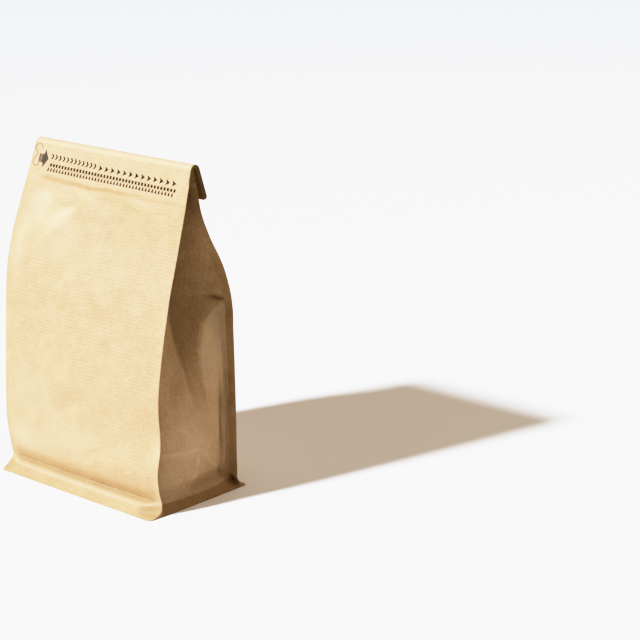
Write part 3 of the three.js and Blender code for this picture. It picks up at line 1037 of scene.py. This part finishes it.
def row_of_marks(name, outline, row, paper, material, tree, identifiers):
    """One printed row: a mark repeated between the row's two ends."""
    mark = ink_plate(name + "_mark", [outline])
    obj = link_object(name, bpy.data.meshes.new(name))
    (x0, z0), (x1, z1), count = row["start"], row["end"], row["count"]
    run_tree(obj, tree, identifiers, {
        "Mark": mark, "Paper": paper, "Material": material, "Count": count,
        "Start": (x0 * MM, 0.0, z0 * MM),
        "Step": ((x1 - x0) * MM / (count - 1), 0.0, (z1 - z0) * MM / (count - 1)),
    })
    bpy.data.objects.remove(mark)
    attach(obj, "root")
    return obj


def path_object(name, path):
    """A line of edges through (x, height) points, upright in the XZ plane."""
    mesh = bpy.data.meshes.new(name)
    edges = [(i, i + 1) for i in range(len(path) - 1)]
    mesh.from_pydata([(x * MM, 0, z * MM) for x, z in path], edges, [])
    return link_object(name, mesh)


def line_tree():
    """Draws a thin flat line along a smoothed path and lays it on the paper."""
    tree, given, identifiers = group_with("tear_strip_line", {
        "Paper": "NodeSocketObject", "Material": "NodeSocketMaterial",
        "Width": "NodeSocketFloat", "Thickness": "NodeSocketFloat", "Pieces": "NodeSocketInt",
    })
    curve = add_node(tree, "GeometryNodeMeshToCurve", {"Mesh": given["Geometry"]}).outputs[0]
    rounded = add_node(tree, "GeometryNodeCurveSplineType", {
        "Curve": curve,
    }, spline_type="CATMULL_ROM").outputs[0]
    even = add_node(tree, "GeometryNodeResampleCurve", {
        "Curve": rounded, "Count": given["Pieces"],
    }).outputs[0]
    profile = add_node(tree, "GeometryNodeCurvePrimitiveQuadrilateral", {
        "Width": given["Width"], "Height": given["Thickness"],
    }).outputs[0]
    line = add_node(tree, "GeometryNodeCurveToMesh", {
        "Curve": even, "Profile Curve": profile, "Fill Caps": True,
    }).outputs[0]
    finish_tree(tree, laid_on_paper(tree, line, given["Paper"]), given["Material"])
    return tree, identifiers


COLOUR = {"size": 4, "subtype": "COLOR", "min": 0, "max": 1}


class BagSettings(bpy.types.PropertyGroup):
    """Colours and sizes of the bag's finish and flap."""
    paper: bpy.props.FloatVectorProperty(
        name="Paper", description="Middle tone of the kraft paper", default=linear("#AC875E"), **COLOUR)
    paper_deep: bpy.props.FloatVectorProperty(
        name="Paper, deep", description="Brown clouds", default=linear("#A07D54"), **COLOUR)
    paper_pale: bpy.props.FloatVectorProperty(
        name="Paper, pale", description="Pale clouds", default=linear("#B69169"), **COLOUR)
    # Deeper tint of the heat-pressed seals and lips, also used as painted shade above the lips, in the zip's
    # groove, on the upper front and up the side folds
    paper_sealed_and_shade: bpy.props.FloatVectorProperty(
        name="Sealed tint", description="Tint of sealed zones", default=linear("#E7E3CA"), **COLOUR)
    # Pale colour of the painted highlights
    paper_highlight: bpy.props.FloatVectorProperty(
        name="Worn", description="Pale fibres of creases", default=linear("#C3A37A"), **COLOUR)
    # Tint of the painted shade: on the band's edges, under the flap, on the side lips and in the side folds
    paper_painted_shade: bpy.props.FloatVectorProperty(
        name="Shade tint", description="Tint of cut and folded paper", default=linear("#8E8049"), **COLOUR)
    ink: bpy.props.FloatVectorProperty(
        name="Ink", description="Dark printing ink", default=linear("#1C1404"), **COLOUR)
    ink_grey: bpy.props.FloatVectorProperty(
        name="Grey ink", description="Tab arrow's ink", default=linear("#3C3123"), **COLOUR)
    rib_pitch: bpy.props.FloatProperty(
        name="Rib pitch", description="Distance from rib to rib", default=RIB_PITCH * MM, unit="LENGTH")
    flap_length: bpy.props.FloatProperty(
        name="Flap", description="Length of the flap behind the bag", default=FLAP_LENGTH * MM, unit="LENGTH")
    tab_line: bpy.props.FloatProperty(
        name="Tab line", description="Width of the finger tab's line", default=TAB_LINE * MM, unit="LENGTH")


class StageSettings(bpy.types.PropertyGroup):
    """Camera, lamps and floor."""
    camera_at: bpy.props.FloatVectorProperty(
        name="Camera", description="Place of the camera", default=(0.8284, -0.757143, 0.418557),
        subtype="TRANSLATION", unit="LENGTH")
    azimuth: bpy.props.FloatProperty(
        name="Azimuth", description="Turn of the camera round the bag",
        default=math.radians(41.49), subtype="ANGLE")
    elevation: bpy.props.FloatProperty(
        name="Elevation", description="Camera's angle above the horizon",
        default=math.radians(16.01), subtype="ANGLE")
    lens: bpy.props.FloatProperty(
        name="Lens", description="Focal length in millimetres", default=110.59, unit="CAMERA")
    key_power: bpy.props.FloatProperty(
        name="Key light", description="Strength in watts per square metre", default=8.5)
    top_power: bpy.props.FloatProperty(
        name="Top light", description="Power in watts", default=32.5, unit="POWER")
    back_power: bpy.props.FloatProperty(
        name="Back light", description="Power in watts", default=3.8, unit="POWER")
    floor: bpy.props.FloatVectorProperty(
        name="Floor", description="Colour of the floor", default=linear("#E4DED5"), **COLOUR)


class COFFEEBAG_OT_paper(bpy.types.Operator):
    """Build the bag's paper: panels, side folds, seals, lips, top fold and flap"""
    bl_idname = "coffeebag.paper"
    bl_label = "Paper bag"

    def execute(self, context):
        settings = context.scene.bag
        bag = link_object("kraft_bag", make_bag_mesh("kraft_bag", settings.flap_length / MM))
        bag.data.materials.append(kraft_paper(settings))
        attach(bag, "root")
        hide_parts("coffee_bag")
        return {"FINISHED"}


class COFFEEBAG_OT_print(bpy.types.Operator):
    """Print the tear strip: rows of marks and arrowheads, the tab arrow and the finger tab"""
    bl_idname = "coffeebag.print"
    bl_label = "Tear strip print"

    def execute(self, context):
        settings = context.scene.bag
        paper = bpy.data.objects["kraft_bag"]
        dark = printing_ink("dark_flexo_ink", settings.ink, 0.05)
        grey = printing_ink("grey_flexo_ink", settings.ink_grey, 0.1)
        tree, identifiers = mark_row_tree()
        row_of_marks("print_arrowheads", ARROWHEAD_OUTLINE, ARROWHEADS, paper, dark, tree, identifiers)
        row_of_marks("print_chevrons", CHEVRON_OUTLINE, CHEVRONS, paper, dark, tree, identifiers)
        row_of_marks("print_upper_marks", UPPER_OUTLINE, UPPER_MARKS, paper, dark, tree, identifiers)
        row_of_marks("print_lower_marks", LOWER_OUTLINE, LOWER_MARKS, paper, dark, tree, identifiers)
        tree, identifiers = plate_tree()
        values = {"Paper": paper, "Material": grey, "Fineness": PLATE_FINENESS}
        stripes = [
            [(x, TAIL_FOOT), (x, TAIL_TOP), (x + width, TAIL_TOP), (x + width, TAIL_FOOT)]
            for x, width in TAIL_STRIPES
        ]
        arrow = ink_plate("print_tab_arrow", [ARROW_HEAD])
        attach(run_tree(arrow, tree, identifiers, values), "root")
        tail = ink_plate("print_tab_tail", stripes)
        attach(run_tree(tail, tree, identifiers, values), "root")
        tree, identifiers = line_tree()
        tab = path_object("print_finger_tab", TAB_PATH)
        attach(run_tree(tab, tree, identifiers, {
            "Paper": paper, "Material": dark, "Width": settings.tab_line,
            "Thickness": 2 * INK_OUT * MM, "Pieces": TAB_PIECES,
        }), "root")
        return {"FINISHED"}


class COFFEEBAG_OT_stage(bpy.types.Operator):
    """Make the floor, the lights and the camera"""
    bl_idname = "coffeebag.stage"
    bl_label = "Stage"

    def execute(self, context):
        stage = context.scene.bag_stage
        make_floor(stage)
        make_lights(stage)
        make_camera(stage)
        return {"FINISHED"}


def make_floor(stage):
    """A wide matt white board."""
    mesh = bpy.data.meshes.new("floor")
    corners = [(-FLOOR_REACH, -FLOOR_REACH, 0), (FLOOR_REACH, -FLOOR_REACH, 0),
               (FLOOR_REACH, FLOOR_REACH, 0), (-FLOOR_REACH, FLOOR_REACH, 0)]
    mesh.from_pydata(corners, [], [(0, 1, 2, 3)])
    floor = link_object("floor", mesh)
    material, tree = new_material("matt_white_board")
    shader = add_node(tree, "ShaderNodeBsdfPrincipled", {
        "Base Color": stage.floor, "Roughness": 0.9, "Specular IOR Level": 0.2,
    })
    add_node(tree, "ShaderNodeOutputMaterial", {"Surface": shader.outputs[0]})
    mesh.materials.append(material)


def lamp_at(name, kind, at, towards, size, power, colour):
    """A lamp that the camera doesn't see: a square area light, or a sun with its angle as size."""
    lamp = bpy.data.lights.new(name, kind)
    lamp.energy, lamp.color = power, colour
    setattr(lamp, "angle" if kind == "SUN" else "size", size)
    obj = bpy.data.objects.new(name, lamp)
    obj.location = at
    obj.rotation_euler = (Vector(towards) - Vector(at)).to_track_quat("-Z", "Y").to_euler()
    obj.visible_camera = False
    bpy.context.scene.collection.objects.link(obj)


def make_lights(stage):
    """A low hard key light from the front left, and wide soft lights from above and behind."""
    sun_angle = math.radians(4.2)
    lamp_at("key_light", "SUN", (-0.39, -1.325, 1), (0, 0, 0), sun_angle, stage.key_power, KEY_COLOUR)
    lamp_at("top_light", "AREA", (0.3, 0.3, 2.2), (0.3, 0.2, 0), 2.0, stage.top_power, TOP_COLOUR)
    lamp_at("back_light", "AREA", (1.0, 1.1, 0.3), (0, 0, 0.08), 0.6, stage.back_power, BACK_COLOUR)
    world = bpy.data.worlds.new("room")
    bpy.context.scene.world = world
    world.use_nodes = True
    world.node_tree.nodes.clear()
    sky = add_node(world.node_tree, "ShaderNodeBackground", {"Color": linear("#EBD9C2"), "Strength": 0.01})
    add_node(world.node_tree, "ShaderNodeOutputWorld", {"Surface": sky.outputs[0]})
    soft_shoulder(bpy.context.scene.view_settings)


def soft_shoulder(view):
    """Plain display with a camera's soft shoulder: bright tones level off below white in each channel."""
    view.view_transform = "Standard"
    view.use_curve_mapping = True
    curves = view.curve_mapping
    curves.use_clip = False
    curves.white_level = (SHOULDER_REACH,) * 3
    curves.extend = "HORIZONTAL"
    points = curves.curves[3].points
    for bright in np.linspace(SHOULDER_KNEE, SHOULDER_REACH, 9):
        room = SHOULDER_TOP - SHOULDER_KNEE
        shown = SHOULDER_TOP - room * math.exp(-(bright - SHOULDER_KNEE) / room)
        if bright == SHOULDER_REACH:
            points[-1].location = (1, shown)
        else:
            points.new(bright / SHOULDER_REACH, shown)
    points.new(0.5 * SHOULDER_KNEE / SHOULDER_REACH, 0.5 * SHOULDER_KNEE)
    curves.update()


def make_camera(stage):
    """The camera, at the photograph's viewing angle."""
    camera = bpy.data.objects.new("camera", bpy.data.cameras.new("camera"))
    camera.data.lens = stage.lens
    camera.data.sensor_width = 36.0
    camera.location = stage.camera_at
    a, e = stage.azimuth, stage.elevation
    back = Vector((math.sin(a) * math.cos(e), -math.cos(a) * math.cos(e), math.sin(e)))
    camera.rotation_euler = (-back).to_track_quat("-Z", "Y").to_euler()
    camera.data.clip_start, camera.data.clip_end = 0.05, 500.0
    bpy.context.scene.collection.objects.link(camera)
    bpy.context.scene.camera = camera


class COFFEEBAG_PT_panel(bpy.types.Panel):
    """Coffee bag tools in the sidebar"""
    bl_idname = "COFFEEBAG_PT_panel"
    bl_label = "Coffee bag"
    bl_space_type = "VIEW_3D"
    bl_region_type = "UI"
    bl_category = "Coffee bag"

    def draw(self, context):
        for group in (context.scene.bag, context.scene.bag_stage):
            box = self.layout.box()
            for key in group.bl_rna.properties.keys():
                if key not in ("rna_type", "name"):
                    box.prop(group, key)
        for operator in OPERATORS:
            self.layout.operator(operator.bl_idname)


OPERATORS = (COFFEEBAG_OT_paper, COFFEEBAG_OT_print, COFFEEBAG_OT_stage)
CLASSES = (BagSettings, StageSettings, *OPERATORS, COFFEEBAG_PT_panel)


def register():
    """Registers the classes and the scene's settings."""
    for cls in CLASSES:
        bpy.utils.register_class(cls)
    bpy.types.Scene.bag = bpy.props.PointerProperty(type=BagSettings)
    bpy.types.Scene.bag_stage = bpy.props.PointerProperty(type=StageSettings)


def unregister():
    """Takes the settings and the classes off again."""
    del bpy.types.Scene.bag_stage
    del bpy.types.Scene.bag
    for cls in reversed(CLASSES):
        bpy.utils.unregister_class(cls)


def main():
    """Builds the bag and its stage."""
    register()
    bpy.ops.coffeebag.paper()
    bpy.ops.coffeebag.print()
    bpy.ops.coffeebag.stage()


if __name__ == "__main__":
    main()
